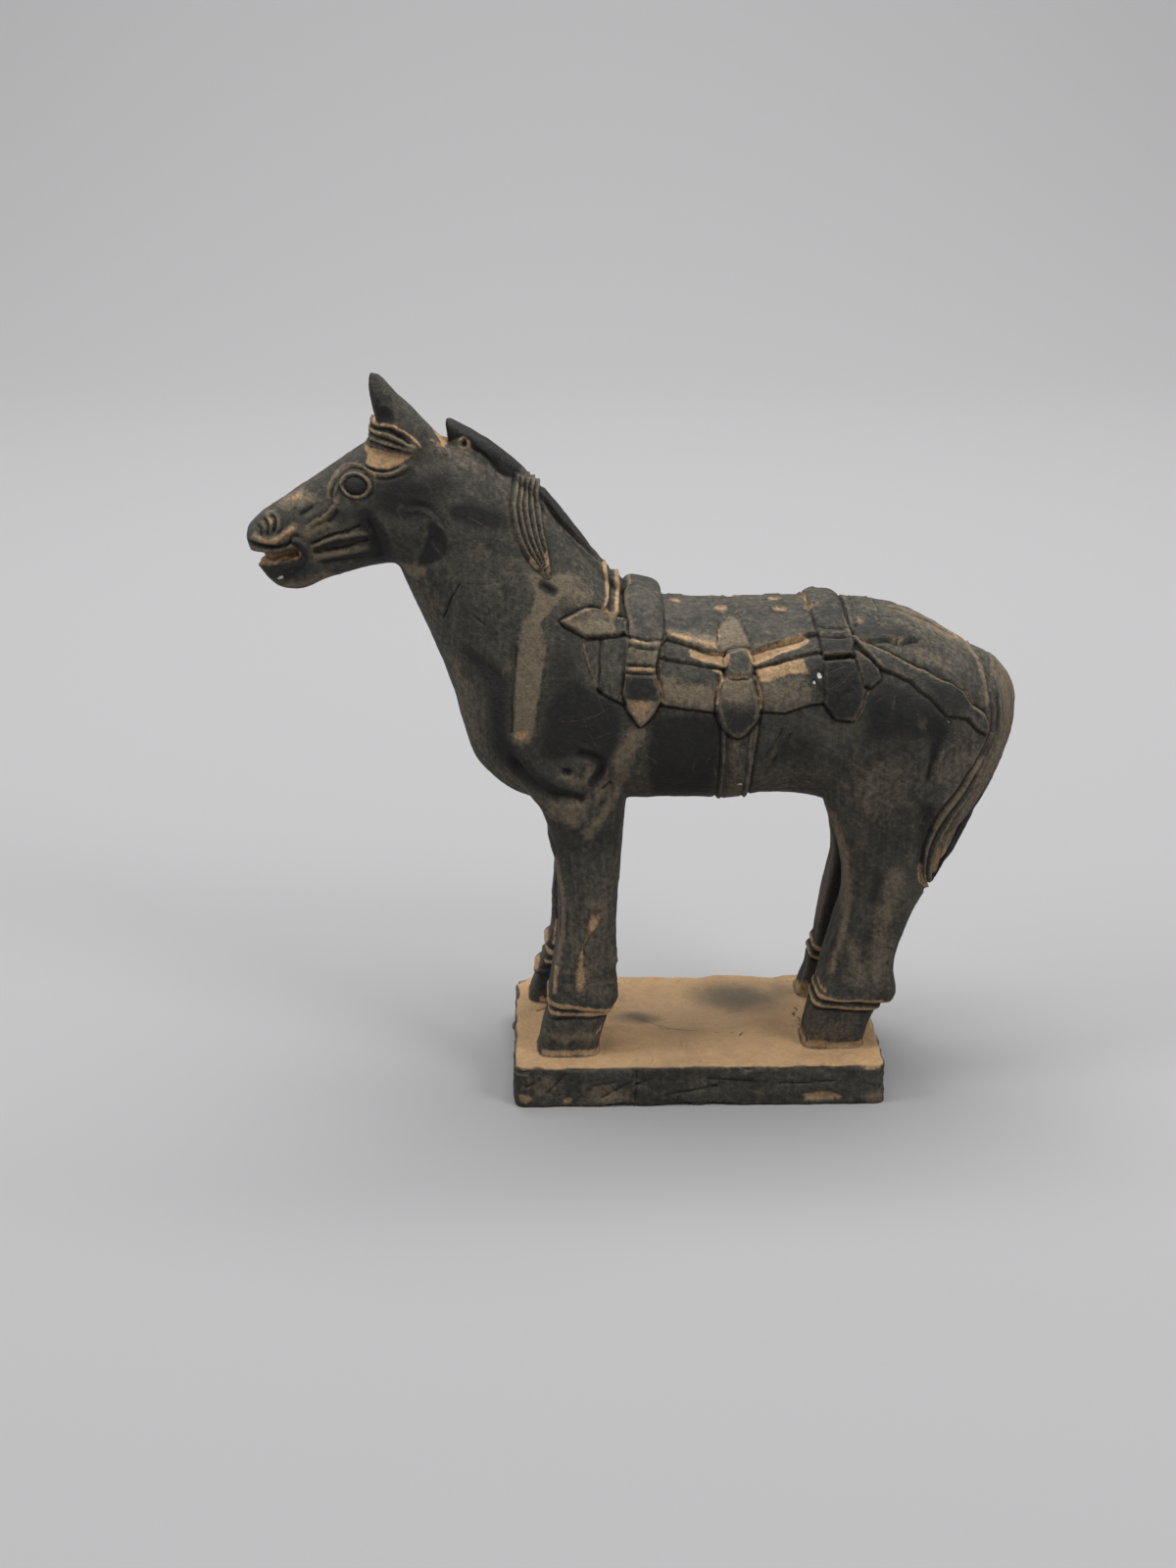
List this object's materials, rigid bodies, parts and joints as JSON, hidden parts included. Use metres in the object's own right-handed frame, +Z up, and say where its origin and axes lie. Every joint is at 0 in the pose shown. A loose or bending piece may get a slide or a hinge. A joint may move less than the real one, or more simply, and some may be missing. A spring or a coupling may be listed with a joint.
{
  "type": "clay horse figure",
  "caption": "Small moulded clay horse in saddle and harness, standing square on a thin rectangular plinth cast with its hooves.",
  "frame": {"origin": "centre of the plinth's underside, where the figure meets the surface it stands on", "axes": "+Z up, -X the way the horse faces along the plinth's length, -Y its near side"},
  "size_m": [0.1891, 0.054, 0.1832],
  "materials": {
    "clay": "dark grey slip over tan fired clay, matt, rubbed and dusty"
  },
  "bodies": {
    "root": {"clay_horse": "clay"}
  },
  "joints": []
}
